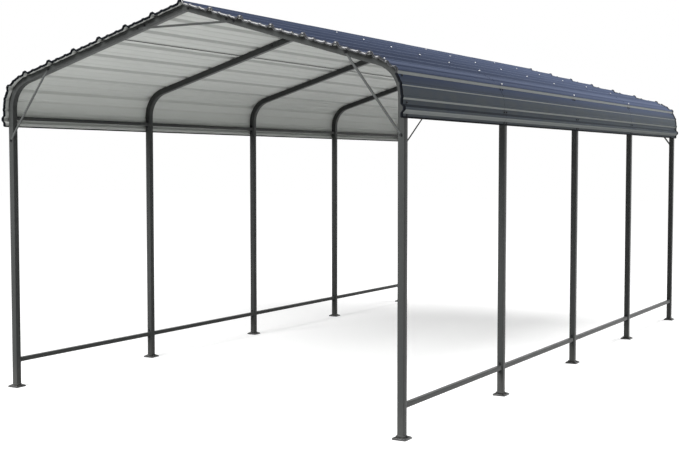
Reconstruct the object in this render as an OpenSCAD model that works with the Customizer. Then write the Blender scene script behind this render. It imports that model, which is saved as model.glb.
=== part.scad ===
// Open steel carport with a gable roof that turns down over rounded eaves.
// The origin is on the ground under the middle of the roof. Front is -Y, right is +X.

/* [Plan] */
// Distance between the left and right post centres
post_span = 3140; // [2400:10:4200]
// Distance from one frame to the next
bay_length = 1500; // [1000:10:2000]
// Number of bays along the length
bays = 4; // [1:1:6]
// How far the roof reaches past the end frames' centres
roof_overhang = 60; // [45:1:200]

/* [Frame tube] */
// Outside width of the square frame tube
tube = 43; // [36:1:60]
// Wall of the frame tube
tube_wall = 1.5; // [1:0.1:3]
// Height of the joint between a post and its bow
splice_z = 1880; // [1500:5:1885]
// Height where the bow's bend starts
bend_z = 2005; // [1995:5:2400]
// Bend radius at the tube's centre line
bend_r = 210; // [150:5:300]
// Roof slope in degrees
roof_slope = 16.1; // [10:0.1:25]
// Length of one arm of the ridge elbow, from the ridge
elbow_reach = 300; // [150:5:330]
// Length of the plug that joins two tubes
spigot_length = 80; // [50:1:120]
// Wall of the plug
spigot_wall = 1.5; // [1:0.1:3]
// Clearance between the plug and the tube around it
spigot_fit = 0.2; // [0.1:0.05:0.5]
// Thickness of the collar that carries the plug
spigot_collar = 3; // [2:0.5:6]
// Depth of the collar below the tube's end
collar_depth = 1; // [0.5:0.1:3]

/* [Feet] */
// Width of the foot on the ground
foot_w = 90; // [86:1:140]
// Width of the foot's flat top
foot_top_w = 52; // [50:1:60]
// Height of the foot
foot_h = 20; // [15:1:40]
// Height of the upright edge round the foot
foot_edge_h = 11; // [2:0.5:12]
// Thickness of the pressed foot
foot_wall = 4; // [2:0.5:5]
// Diameter of the anchor holes
anchor_d = 11; // [8:0.5:14]
// Distance between the two anchor holes of a foot
anchor_spacing = 66; // [62:1:68]
// Diameter of the flat seat round an anchor hole
anchor_seat_d = 20; // [18:1:22]
// Height of the flat seat above the ground
anchor_seat_h = 8; // [5:0.5:12]

/* [Rails] */
// Outside width of the lower rail tube
lower_rail = 30; // [20:1:34]
// Height of the lower rail's centre line
lower_rail_z = 196; // [120:1:600]
// Height of the lower rail's end plate
lower_plate_h = 84; // [60:1:120]
// Outside width of the eave rail tube
eave_rail = 25; // [20:1:34]
// Height of the eave rail's centre line above the post joint
eave_rail_rise = 60; // [45:1:90]
// Height of the eave rail's end plate
eave_plate_h = 76; // [60:1:90]
// Wall of the rail tubes
rail_wall = 1.2; // [1:0.1:3]
// Width of the end plates
plate_w = 36; // [34:1:50]
// Thickness of the end plates
plate_t = 3; // [2:0.5:6]

/* [Braces] */
// Width of the brace tube across its face
brace_w = 14; // [13:1:24]
// Depth of the brace tube
brace_d = 9; // [8:1:18]
// Wall of the brace tube
brace_wall = 1.5; // [1:0.1:2.5]
// Thickness of the brace's flattened ends
tongue_t = 3; // [2:0.5:4]
// Width of the flattened end at its bolt
tongue_w = 12; // [10:1:14]
// Length of the flattened end
tongue_length = 34; // [20:1:60]
// Length over which the tube flattens
tongue_ramp = 26; // [15:1:50]
// Drop of the knee brace's lower bolt below the post joint
knee_drop = 100; // [60:5:400]
// Distance of the knee brace's upper bolt from the post's centre
knee_reach = 370; // [300:5:600]
// Distance of the ridge tie's bolts from the ridge
tie_reach = 388; // [300:2:700]

/* [Roof sheets] */
// Thickness of the sheet
sheet_t = 0.5; // [0.3:0.1:1]
// Clearance between lapped sheets
lap_gap = 0.3; // [0.2:0.05:0.6]
// Length by which one sheet covers the next at a frame
end_lap = 60; // [40:1:120]
// Width of flat ridge sheet over the side sheet, beyond the lapped rib
side_lap = 8; // [4:1:30]
// Width of flat side sheet under the ridge sheet, beyond the lapped rib
under_lap = 42; // [5:1:44]
// Distance between the main ribs on the slope
rib_pitch = 240; // [180:1:320]
// Distance between the main ribs round the eave
eave_rib_pitch = 231; // [150:1:260]
// Distance of the lowest main rib from the fascia's lower edge
edge_rib_rise = 50; // [40:1:70]
// How far the small ribs of the fascia sit below an even spacing
fascia_minor_drop = 10; // [0:1:14]
// Height of the main ribs
rib_h = 17; // [10:1:25]
// Width of the main ribs at the foot
rib_base = 52; // [40:1:60]
// Width of the main ribs at the top
rib_top = 18; // [10:1:30]
// Height of the small ribs between them
minor_h = 4; // [2:0.5:8]
// Width of the small ribs at the foot
minor_base = 26; // [16:1:30]
// Width of the small ribs at the top
minor_top = 10; // [4:1:14]
// Drop of the fascia's lower edge below the start of the bend
fascia_drop = 125; // [120:1:200]

/* [Hidden] */
$fn = 64;
// A cut reaches this far past the face that it opens
past = 1;
// Longest straight step of a roof sheet round the bend
fold_step = 18;
// Main ribs round an eave
eave_ribs = 2;
// Main ribs of a ridge sheet on each slope after the ridge rib, the last one lapped over a side sheet
ridge_ribs = 3;
// Small ribs between two main ribs
minors = 2;

sides = ["left", "right"];
frames = bays + 1;
half_span = post_span / 2;
tube_bore = tube - 2 * tube_wall;
spigot_w = tube_bore - 2 * spigot_fit;

// The bend's centre, its outer radius and the roof's outer line
bend_x = half_span - bend_r;
outer_r = bend_r + tube / 2;
bend_angle = 90 - roof_slope;
slope_length = (bend_x + outer_r * sin(roof_slope)) / cos(roof_slope);
bend_length = outer_r * bend_angle * PI / 180;
apex_z = bend_z + outer_r * cos(roof_slope) + slope_length * sin(roof_slope);
edge_s = slope_length + bend_length + fascia_drop;

// The first main rib of the eave, and the main ribs on a slope that keep clear of it
eave_s = edge_s - edge_rib_rise - (eave_ribs - 1) * eave_rib_pitch;
rib_room = rib_base + (minors + 1) * minor_base;
slope_ribs = floor((eave_s - rib_room) / rib_pitch);

// The rafters' centre line
axis_apex_z = apex_z - tube / 2 / cos(roof_slope);
axis_slope_length = (bend_x + bend_r * sin(roof_slope)) / cos(roof_slope);

eave_rail_z = splice_z + eave_rail_rise;
sheet_step = sheet_t + lap_gap;

frame_color = [0.25, 0.26, 0.26];
foot_color = [0.20, 0.20, 0.21];
roof_color = [0.22, 0.25, 0.34];

// Place of a frame along the length
function frame_y(i) = (i - (frames + 1) / 2) * bay_length;

// A point on the rafters' centre line, x from the ridge
function on_rafter(x) = [x, axis_apex_z - x * tan(roof_slope)];

// A point at height h over the roof's outer line, s along it from the ridge
function roof_point(s, h) =
    s < 0 ? [-roof_point(-s, h).x, roof_point(-s, h).y] :
    s <= slope_length ?
        [s * cos(roof_slope) + h * sin(roof_slope),
         apex_z - s * sin(roof_slope) + h * cos(roof_slope)] :
    s <= slope_length + bend_length ?
        let (turn = roof_slope + (s - slope_length) / outer_r * 180 / PI)
        [bend_x + (outer_r + h) * sin(turn), bend_z + (outer_r + h) * cos(turn)] :
        [bend_x + outer_r + h, bend_z - (s - slope_length - bend_length)];

// Place of a main rib along the roof's outer line
function rib_s(k) =
    k <= slope_ribs ? k * rib_pitch : eave_s + (k - slope_ribs - 1) * eave_rib_pitch;

// Corners of a rib as [place along the line, height]
function rib_corners(s, base, top, h) =
    [[s - base / 2, 0], [s - top / 2, h], [s + top / 2, h], [s + base / 2, 0]];
function main_rib(k) = rib_corners(rib_s(k), rib_base, rib_top, rib_h);
function minor_drop(k) = k > slope_ribs ? fascia_minor_drop : 0;
function minor_s(k, m) = rib_s(k) + (rib_s(k + 1) - rib_s(k)) * m / (minors + 1) + minor_drop(k);
function small_ribs(k) = [
    for (m = [1:minors]) each rib_corners(minor_s(k, m), minor_base, minor_top, minor_h)
];

// Folds of a side sheet, from its lap under the ridge sheet to the fascia's edge
side_folds = concat(
    [[rib_s(ridge_ribs) - rib_base / 2 - under_lap, 0]],
    [for (k = [ridge_ribs:slope_ribs + eave_ribs - 1]) each concat(main_rib(k), small_ribs(k))],
    main_rib(slope_ribs + eave_ribs),
    [[edge_s, 0]]
);

// Folds of a ridge sheet on its right slope, and on both
ridge_half = concat(
    [main_rib(0)[2], main_rib(0)[3]],
    [for (k = [0:ridge_ribs - 1]) each concat(small_ribs(k), main_rib(k + 1))],
    [[rib_s(ridge_ribs) + rib_base / 2 + side_lap, 0]]
);
ridge_folds = concat(
    [for (i = [len(ridge_half) - 1:-1:0]) [-ridge_half[i][0], ridge_half[i][1]]],
    ridge_half
);

// Folds with short straight steps round the bend
function in_bend(a, b) = b > slope_length && a < slope_length + bend_length;
function steps(a, b) = in_bend(a, b) ? ceil((b - a) / fold_step) : 1;
function bent(folds) = concat(
    [for (i = [0:len(folds) - 2])
        let (n = steps(folds[i][0], folds[i + 1][0]))
        for (j = [0:n - 1]) folds[i] + (folds[i + 1] - folds[i]) * j / n],
    [folds[len(folds) - 1]]
);

// Puts a right-hand piece on the named side
module on_side(side) {
    if (side == "left") mirror([1, 0, 0]) children();
    else children();
}

// Draws an outline in X and Z, and runs it from y0 to y1
module along_length(y0, y1) {
    translate([0, y1, 0]) rotate([90, 0, 0]) linear_extrude(y1 - y0) children();
}

// A square tube along Y
module tube_along(w, wall, y0, y1) {
    along_length(y0, y1) difference() {
        square(w, center = true);
        square(w - 2 * wall, center = true);
    }
}

// A square bar along +Z from z0
module bar(w, z0, length) {
    translate([-w / 2, -w / 2, z0]) cube([w, w, length]);
}

// Reduced tube end that plugs into the next tube, along +Z from the joint.
// Its collar is let into the middle of the tube's wall, just below the tube's end.
module spigot() {
    collar_z = -spigot_collar - collar_depth;
    difference() {
        union() {
            bar(tube - tube_wall, collar_z, spigot_collar);
            bar(spigot_w, collar_z, spigot_length - collar_z);
        }
        bar(spigot_w - 2 * spigot_wall, collar_z - past, spigot_length - collar_z + 2 * past);
    }
}

// One post with the plug for its bow
module post(side, i) {
    color(frame_color) on_side(side) translate([half_span, frame_y(i), 0]) {
        translate([-tube / 2, -tube / 2, foot_h]) difference() {
            cube([tube, tube, splice_z - foot_h]);
            translate([tube_wall, tube_wall, -past])
                cube([tube_bore, tube_bore, splice_z - foot_h + 2 * past]);
        }
        translate([0, 0, splice_z]) spigot();
    }
}

// Outline of the bow's leg, bend and rafter as a band of width w, longer by extra at both ends
module bow_band(w, extra) {
    rafter = axis_slope_length - elbow_reach + extra;
    wedge = 2 * (outer_r + past);
    translate([half_span - w / 2, splice_z - extra]) square([w, bend_z - splice_z + extra]);
    translate([bend_x, bend_z]) intersection() {
        difference() {
            circle(bend_r + w / 2);
            circle(bend_r - w / 2);
        }
        polygon([[0, 0], [wedge, 0], [wedge, wedge], wedge * [sin(roof_slope), cos(roof_slope)]]);
    }
    translate([bend_x, bend_z] + bend_r * [sin(roof_slope), cos(roof_slope)])
        rotate(-roof_slope) translate([-rafter, -w / 2]) square([rafter, w]);
}

// One bent bow tube
module bow(side, i) {
    color(frame_color) on_side(side) translate([0, frame_y(i), 0]) difference() {
        along_length(-tube / 2, tube / 2) bow_band(tube, 0);
        along_length(-tube_bore / 2, tube_bore / 2) bow_band(tube_bore, past);
    }
}

// Outline of the ridge elbow as a band of width w with two arms
module elbow_band(w, reach) {
    tip = w / 2 / cos(roof_slope);
    end = [reach * cos(roof_slope), axis_apex_z - reach * sin(roof_slope)];
    half = w / 2 * [sin(roof_slope), cos(roof_slope)];
    polygon([
        [0, axis_apex_z + tip], end + half, end - half,
        [0, axis_apex_z - tip], [-(end - half).x, (end - half).y], [-(end + half).x, (end + half).y]
    ]);
}

// One ridge elbow with a plug for each bow
module ridge_elbow() {
    difference() {
        along_length(-tube / 2, tube / 2) elbow_band(tube, elbow_reach);
        along_length(-tube_bore / 2, tube_bore / 2) elbow_band(tube_bore, elbow_reach + past);
    }
    for (side = sides) on_side(side)
        translate([elbow_reach * cos(roof_slope), 0, axis_apex_z - elbow_reach * sin(roof_slope)])
            rotate([0, 90 + roof_slope, 0]) spigot();
}

module ridge_elbows() {
    color(frame_color) for (i = [1:frames]) translate([0, frame_y(i), 0]) ridge_elbow();
}

// Outline of a foot with an upright edge and sloping sides, set in from its surface by inset
module foot_outline(inset) {
    low = foot_w / 2 - inset;
    top = foot_top_w / 2 - inset;
    polygon([
        [-low, 0], [low, 0], [low, foot_edge_h], [top, foot_h - inset],
        [-top, foot_h - inset], [-low, foot_edge_h]
    ]);
}

// The outline taken across the foot both ways
module foot_form(inset) {
    intersection() {
        along_length(-foot_w, foot_w) foot_outline(inset);
        rotate([0, 0, 90]) along_length(-foot_w, foot_w) foot_outline(inset);
    }
}

// A pressed foot with two anchor holes in flat seats, left and right of the post
module foot() {
    difference() {
        union() {
            difference() {
                foot_form(0);
                foot_form(foot_wall);
            }
            for (x = [-1, 1] * anchor_spacing / 2) intersection() {
                translate([x, 0, 0]) cylinder(d = anchor_seat_d, h = anchor_seat_h);
                foot_form(0);
            }
        }
        for (x = [-1, 1] * anchor_spacing / 2) {
            translate([x, 0, anchor_seat_h]) cylinder(d = anchor_seat_d, h = foot_h);
            translate([x, 0, -past]) cylinder(d = anchor_d, h = foot_h);
        }
    }
}

module feet(side) {
    color(foot_color) on_side(side)
        for (i = [1:frames]) translate([half_span, frame_y(i), 0]) foot();
}

// A rail between two tubes of neighbouring frames, with a plate welded on each end
module rail(w, plate_h) {
    reach = (bay_length - tube) / 2;
    tube_along(w, rail_wall, -reach + plate_t, reach - plate_t);
    for (y = [-reach, reach - plate_t])
        translate([-plate_w / 2, y, -plate_h / 2]) cube([plate_w, plate_t, plate_h]);
}

module rails(side, w, plate_h, z) {
    color(frame_color) on_side(side) for (i = [1:bays])
        translate([half_span, (frame_y(i) + frame_y(i + 1)) / 2, z]) rail(w, plate_h);
}

// Flattened end of a brace, along +X from its bolt
module tongue() {
    rotate([90, 0, 0]) translate([0, 0, -tongue_t]) linear_extrude(tongue_t) {
        circle(d = tongue_w);
        polygon([
            [0, -tongue_w / 2], [tongue_length, -brace_w / 2],
            [tongue_length, brace_w / 2], [0, tongue_w / 2]
        ]);
    }
    translate([0, 0, -brace_w / 2]) linear_extrude(brace_w) polygon([
        [tongue_length, 0], [tongue_length + tongue_ramp, 0],
        [tongue_length + tongue_ramp, brace_d], [tongue_length, tongue_t]
    ]);
}

// A brace tube from bolt p to bolt q, in X and Z, with its back on the plane y = 0
module brace(p, q) {
    length = norm(q - p);
    ends = tongue_length + tongue_ramp;
    translate([p.x, 0, p.y]) rotate([0, -atan2(q.y - p.y, q.x - p.x), 0]) {
        tongue();
        translate([length, 0, 0]) mirror([1, 0, 0]) tongue();
        translate([0, 0, -brace_w / 2]) difference() {
            translate([ends, 0, 0]) cube([length - 2 * ends, brace_d, brace_w]);
            translate([ends, brace_wall, brace_wall])
                cube([length - 2 * ends, brace_d - 2 * brace_wall, brace_w - 2 * brace_wall]);
        }
    }
}

// Puts pieces that lie on y = 0 onto the outer face of an end frame
module on_end_frame(rear) {
    if (rear) translate([0, frame_y(frames) + tube / 2, 0]) children();
    else translate([0, frame_y(1) - tube / 2, 0]) mirror([0, 1, 0]) children();
}

module knee_braces(rear) {
    color(frame_color) on_end_frame(rear) for (side = sides) on_side(side)
        brace([half_span, splice_z - knee_drop], on_rafter(half_span - knee_reach));
}

module ridge_tie(rear) {
    bolt = on_rafter(tie_reach);
    color(frame_color) on_end_frame(rear) brace([-bolt.x, bolt.y], bolt);
}

// A folded sheet that lies over lap_level other sheets, in bay i
module roof_sheet(folds, lap_level, i) {
    lift = lap_gap + lap_level * sheet_step;
    line = bent(folds);
    front = i == 1 ? roof_overhang : end_lap / 2;
    rear = i == bays ? roof_overhang : end_lap / 2;
    along_length(frame_y(i) - front, frame_y(i + 1) + rear) polygon(concat(
        [for (fold = line) roof_point(fold[0], lift + fold[1] + sheet_t)],
        [for (j = [len(line) - 1:-1:0]) roof_point(line[j][0], lift + line[j][1])]
    ));
}

module side_sheet(side, i) {
    color(roof_color) on_side(side) roof_sheet(side_folds, 1 - i % 2, i);
}

module ridge_sheet(i) {
    color(roof_color) roof_sheet(ridge_folds, 3 - i % 2, i);
}

for (side = sides, i = [1:frames]) {
    post(side, i);
    bow(side, i);
}
ridge_elbows();
for (side = sides) {
    feet(side);
    rails(side, lower_rail, lower_plate_h, lower_rail_z);
    rails(side, eave_rail, eave_plate_h, eave_rail_z);
}
knee_braces(false);  // knee_braces_front
knee_braces(true);  // knee_braces_rear
ridge_tie(false);  // ridge_tie_front
ridge_tie(true);  // ridge_tie_rear
for (side = sides, i = [1:bays])
    side_sheet(side, i);
for (i = [1:bays])
    ridge_sheet(i);
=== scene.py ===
"""Looks of an open steel carport: folded roof sheets, a powder-coated tube frame and its fasteners."""
import math

import bmesh
import bpy
from mathutils import Matrix, Vector


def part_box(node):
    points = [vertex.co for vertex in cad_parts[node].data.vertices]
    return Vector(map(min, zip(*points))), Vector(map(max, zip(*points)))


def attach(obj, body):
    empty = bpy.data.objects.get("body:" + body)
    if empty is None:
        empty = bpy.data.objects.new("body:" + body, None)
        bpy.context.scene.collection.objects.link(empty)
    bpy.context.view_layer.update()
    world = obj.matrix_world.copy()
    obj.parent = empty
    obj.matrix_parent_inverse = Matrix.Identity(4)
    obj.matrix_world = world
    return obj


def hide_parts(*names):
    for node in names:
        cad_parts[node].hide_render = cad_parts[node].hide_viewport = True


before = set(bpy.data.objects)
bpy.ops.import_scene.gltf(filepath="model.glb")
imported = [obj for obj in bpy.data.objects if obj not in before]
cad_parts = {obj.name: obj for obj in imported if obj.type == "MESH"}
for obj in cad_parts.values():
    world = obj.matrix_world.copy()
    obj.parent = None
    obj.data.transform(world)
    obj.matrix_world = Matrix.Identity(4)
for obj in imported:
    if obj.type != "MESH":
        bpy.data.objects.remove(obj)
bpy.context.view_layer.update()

# Sizes read from the frame, in metres as all lengths here
SIDES = {"left": -1, "right": 1}
BAYS = sum(name.startswith("roof_sheet_ridge_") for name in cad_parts)
FRAMES = BAYS + 1
POST_LOW, POST_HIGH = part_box("post_right_1")
TUBE = POST_HIGH.x - POST_LOW.x
HALF_SPAN = (POST_LOW.x + POST_HIGH.x) / 2
FRAME_Y = [sum(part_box(f"post_right_{i}"), Vector()).y / 2 for i in range(1, FRAMES + 1)]
POST_FOOT_Z = POST_LOW.z
SPLICE_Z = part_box("bow_right_1")[0].z
ROOF_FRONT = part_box("roof_sheet_ridge_1")[0].y
ROOF_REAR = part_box(f"roof_sheet_ridge_{BAYS}")[1].y
FASCIA_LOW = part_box("roof_sheet_right_1")[0].z

# Outer face of each end frame, and the way it looks along Y
END_FRAMES = {"front": (FRAME_Y[0] - TUBE / 2, -1), "rear": (FRAME_Y[-1] + TUBE / 2, 1)}

# Frame tube
CORNER_R = 0.0030
CORNER_STEPS = 3
JOINT_CHAMFER = 0.0012
BEND_Z = 2.005
BEND_R = 0.210
BOW_BEND_STEPS = 24
SLOPE = math.radians(16.1)
ELBOW_REACH = 0.300

# Feet, whose long edges and upright corners are eased
FOOT_EASE = 0.0035
FOOT_EASE_STEPS = 3
FOOT_EDGE_LEAST = 0.020
FOOT_CORNER_LEAST = 0.008
FOOT_TURN_LEAST = math.radians(20)
FOOT_FLAT_WITHIN = math.radians(1)
UPRIGHT_SHARE = 0.99

# Rails and their end plates
RAIL_W = {"lower": 0.030, "eave": 0.025}
RAIL_CORNER_R = 0.0024
PLATE_H = {"lower": 0.084, "eave": 0.076}
PLATE_W = 0.036
PLATE_T = 0.003
PLATE_EASE = 0.0008
PLATE_BOLT_RISE = {"lower": 0.029, "eave": 0.026}

# Welds, whose steps are (rise, reach left) as shares of the width
WELD_W = 0.005
WELD_STEPS = ((0.35, 0.62), (0.45, 0.22), (0.60, 0.0))

# Braces, whose tip's steps are (length, share of the width before)
BRACE_W = 0.014
BRACE_D = 0.009
BRACE_CORNER = 0.0020
BRACE_TRIM = 0.0001
TONGUE_T = 0.003
TONGUE_W = 0.012
TONGUE_LENGTH = 0.034
TONGUE_RAMP = 0.026
TONGUE_TIP = ((0.004, 0.8), (0.002, 0.5))
KNEE_DROP = 0.100
KNEE_REACH = 0.370
TIE_REACH = 0.388

# Roof sheets, whose ribs are (width at the base, width at the top, height)
SHEET_T = 0.0005
LAP_GAP = 0.0003
LAP_LEVELS = 4
END_LAP = 0.060
SIDE_LAP = 0.008
UNDER_LAP = 0.042
RIB_PITCH = 0.240
EAVE_RIB_PITCH = 0.231
EDGE_RIB_RISE = 0.050
FASCIA_MINOR_DROP = 0.010
SLOPE_RIBS = 6
EAVE_RIBS = 2
RIDGE_RIBS = 3
RIB = (0.052, 0.018, 0.017)
SMALL_RIB = (0.026, 0.010, 0.004)
SMALL_RIBS = 2
FOLD_R = 0.0018
FOLD_STEPS = 3
BEND_STEP = 0.008
UNDER_EDGE_S = RIDGE_RIBS * RIB_PITCH - RIB[0] / 2 - UNDER_LAP
ROOF_TOP = LAP_GAP + LAP_LEVELS * (SHEET_T + LAP_GAP)

# Rolled edges of the roof; the end beads are glossy on the right slope, down to a height, as a painted
# highlight
EDGE_BEAD = 0.017
EDGE_BEAD_SIDES = 8
GLINT_EDGE_FROM = 2.13
FASCIA_HEM = 0.009
# Dark rods along the lapped side sheets' edges, painted shade for the laps' shadow lines
LAP_SHADOW_LINE = 0.003
HEM_SIDES = 12

# Bolts and nuts
BOLT_R = 0.004
BOLT_SIDES = 12
BOLT_HEAD_R = 0.0075
BOLT_HEAD_H = 0.0053
BOLT_WASHER_R = 0.0085
BOLT_WASHER_T = 0.0016
WASHER_SIDES = 24
HEX_SIDES = 6
HEAD_CROWN = 0.75
HEAD_TOP = 0.88
NUT_H = 0.0065
BOLT_END = 0.005
RIDGE_BOLT_X = 0.030
JOINT_BOLT_REACH = 0.345
ANCHOR_SPACING = 0.066
ANCHOR_SEAT_H = 0.008

# Roof screws, whose cap and dome are shares of the rubber seal
SEAL_R = 0.0070
SEAL_T = 0.0012
SEAL_SIDES = 14
CAP_R = 0.94
CAP_CROWN = 0.3
DOME_RISE = 0.5
DOME_TOP = 0.7
SCREW_HEAD_R = 0.0042
SCREW_HEAD_H = 0.0050
LAP_SCREW_STEP = 0.040
FASCIA_SCREWS = (0.012, 0.086, 0.246)

# The roof's outer line: a slope, a bend and an upright fascia
OUTER_R = BEND_R + TUBE / 2
BEND_X = HALF_SPAN - BEND_R
SLOPE_LENGTH = (BEND_X + OUTER_R * math.sin(SLOPE)) / math.cos(SLOPE)
BEND_LENGTH = OUTER_R * (math.pi / 2 - SLOPE)
SLOPE_LOW_Z = BEND_Z + OUTER_R * math.cos(SLOPE)
APEX_Z = SLOPE_LOW_Z + SLOPE_LENGTH * math.sin(SLOPE)
EDGE_S = SLOPE_LENGTH + BEND_LENGTH + BEND_Z - FASCIA_LOW
AXIS_APEX_Z = APEX_Z - TUBE / 2 / math.cos(SLOPE)
AXIS_SLOPE_LENGTH = (BEND_X + BEND_R * math.sin(SLOPE)) / math.cos(SLOPE)
RAFTER_DIRECTION = Vector((-math.cos(SLOPE), 0, math.sin(SLOPE)))

# Mesh finish
SMOOTH_ANGLE = math.radians(35)
MERGE_GAP = 1e-5
FINE_GAP = 1e-6

# Real dust, painted light and painted shade: ranges of a face's normal, from no effect to the full one, then
# the grooves' height and tones. Faces that look down get painted light; ledges and grooves get painted shade
DUST_LIES = (0.2, 0.95)
PAINTED_LIGHT_FACING = (-0.02, -0.18)
PAINTED_LIGHT_FADES = (-0.45, -0.75)
FADED_PAINTED_LIGHT = 0.5
SHADE_ON_LEDGE = (0.3, 0.6)
SHADE_IN_GROOVE = (-0.72, -0.84)
GROOVE_FADE_H = 0.02
GROOVES_FROM_Z = (SLOPE_LOW_Z, SLOPE_LOW_Z + GROOVE_FADE_H)
DUST_TONE = (0.42, 0.40, 0.37, 1.0)
PAINTED_SHADE_TONE = (0.010, 0.012, 0.016, 1.0)

# Coats: grain in lumps a metre, and bumps as (distance in metres, strength)
NOISE_MIDDLE = 0.5
PEEL_GLOSS_SHIFT = 0.12
MASK_DULLING = 0.4
SHEET_GRAIN = 700.0
SHEET_PEEL = (0.00003, 0.25)
BUCKLE_STRENGTH = 0.35
POWDER_GRAIN = 420.0
POWDER_PEEL = (0.00008, 0.4)
POWDER_CLOUD = 0.05
POWDER_CLOUD_TONE = (0.09, 0.094, 0.09, 1.0)
STEEL_GRAIN = 1800.0
STEEL_MARKS = (0.00002, 0.4)
STEEL_TARNISH = 0.5
RUBBER_GRAIN = 1200.0
RUBBER_MARKS = (0.00004, 0.5)
RUBBER_ROUGHNESS = 0.75
RUBBER_BLOOM = 0.4

# Stage
FLOOR_HALF = 40.0
FLOOR_DROP = 0.0005
FLOOR_TONE = 0.56
FLOOR_GLOW_NEAR = 0.55
FLOOR_GLOW = 0.92
FLOOR_NEAR = 3.0
FLOOR_FAR = 11.0
WORLD_LIGHT = 0.16
WHITE = (1.0, 1.0, 1.0, 1.0)

# View of the object
CAMERA_AT = Vector((4.632, -8.910, 1.609))
CAMERA_AZIMUTH = math.radians(30.54)
CAMERA_ELEVATION = math.radians(3.10)
CAMERA_LENS = 60.785
CAMERA_SENSOR_W = 36.0


def on_rafter(x):
    """A point on the rafters' centre line, as (x, z)."""
    return Vector((x, AXIS_APEX_Z - abs(x) * math.tan(SLOPE)))


def roof_turn(s):
    """How far the roof's surface leans outwards from level, s along it from the ridge."""
    return SLOPE + max(0.0, min(s - SLOPE_LENGTH, BEND_LENGTH)) / OUTER_R


def roof_point(s, h):
    """A point h over the roof's outer line, s along it from the ridge, as (x, z)."""
    if s < 0:
        x, z = roof_point(-s, h)
        return -x, z
    turn = roof_turn(s)
    if s <= SLOPE_LENGTH:
        x, z = s * math.cos(SLOPE), APEX_Z - s * math.sin(SLOPE)
    elif s <= SLOPE_LENGTH + BEND_LENGTH:
        x, z = BEND_X + OUTER_R * math.sin(turn), BEND_Z + OUTER_R * math.cos(turn)
    else:
        x, z = BEND_X + OUTER_R, BEND_Z - (s - SLOPE_LENGTH - BEND_LENGTH)
    return x + h * math.sin(turn), z + h * math.cos(turn)


# Shader helpers


def feed(tree, socket, value):
    """Links a node's output to a socket, or sets the socket's own value."""
    if isinstance(value, bpy.types.NodeSocket):
        tree.links.new(value, socket)
    else:
        socket.default_value = value


def add(tree, kind, values=None, **settings):
    """Adds a node, sets its settings, and sets or links its inputs."""
    made = tree.nodes.new(kind)
    for name, value in settings.items():
        setattr(made, name, value)
    for socket, value in (values or {}).items():
        feed(tree, made.inputs[socket], value)
    return made


def math_node(tree, operation, a, b=0.0, clamp=False):
    return add(tree, "ShaderNodeMath", {0: a, 1: b}, operation=operation, use_clamp=clamp).outputs[0]


def times(tree, a, b):
    return math_node(tree, "MULTIPLY", a, b)


def ramp(tree, value, low, high, out_low=0.0, out_high=1.0):
    """Maps a value from one range to another, with soft ends."""
    made = add(tree, "ShaderNodeMapRange", {
        "Value": value, "From Min": low, "From Max": high, "To Min": out_low, "To Max": out_high,
    }, interpolation_type="SMOOTHSTEP")
    return made.outputs["Result"]


def mix_colour(tree, factor, a, b):
    """Mixes two colours. The Mix node's colour sockets share their names, so they go by number."""
    return add(tree, "ShaderNodeMix", {"Factor": factor, 6: a, 7: b}, data_type="RGBA").outputs[2]


def noise(tree, place, per_metre, detail=2.0, roughness=0.5, stretch=(1, 1, 1)):
    """Noise at so many lumps a metre, stretched along an axis where stretch is under 1."""
    stretched = add(tree, "ShaderNodeMapping", {"Vector": place, "Scale": stretch})
    made = add(tree, "ShaderNodeTexNoise", {
        "Vector": stretched.outputs[0], "Scale": per_metre, "Detail": detail, "Roughness": roughness})
    return made.outputs["Fac"]


def shader_group(name, inputs, outputs):
    """An empty node group with named sockets, and the sockets of its input and output nodes."""
    group = bpy.data.node_groups.new(name, "ShaderNodeTree")
    for label, kind, value in inputs:
        socket = group.interface.new_socket(label, in_out="INPUT", socket_type=kind)
        if value is not None:
            socket.default_value = value
    for label, kind in outputs:
        group.interface.new_socket(label, in_out="OUTPUT", socket_type=kind)
    return group, group.nodes.new("NodeGroupInput").outputs, group.nodes.new("NodeGroupOutput").inputs


def use_group(tree, group, values):
    return add(tree, "ShaderNodeGroup", values, node_tree=group).outputs


def colour(red, green, blue):
    return red, green, blue, 1.0


# Shared effects


def coat_grain_group():
    """Fine orange peel of a baked coat, as a height and a change of roughness."""
    group, given, out = shader_group(
        "coat_grain",
        [("Place", "NodeSocketVector", None), ("Grain per metre", "NodeSocketFloat", 400.0),
         ("Roughness", "NodeSocketFloat", 0.4), ("Spread", "NodeSocketFloat", 0.1)],
        [("Height", "NodeSocketFloat"), ("Roughness", "NodeSocketFloat")],
    )
    peel = noise(group, given["Place"], given["Grain per metre"], detail=3.0, roughness=0.6)
    cloud = noise(group, given["Place"], per_metre=7.0, detail=4.0, roughness=0.65)
    shift = times(group, math_node(group, "SUBTRACT", cloud, NOISE_MIDDLE), given["Spread"])
    fine = times(group, math_node(group, "SUBTRACT", peel, NOISE_MIDDLE), PEEL_GLOSS_SHIFT)
    total = math_node(group, "ADD", math_node(group, "ADD", given["Roughness"], shift), fine)
    group.links.new(peel, out["Height"])
    group.links.new(total, out["Roughness"])
    return group


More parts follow.
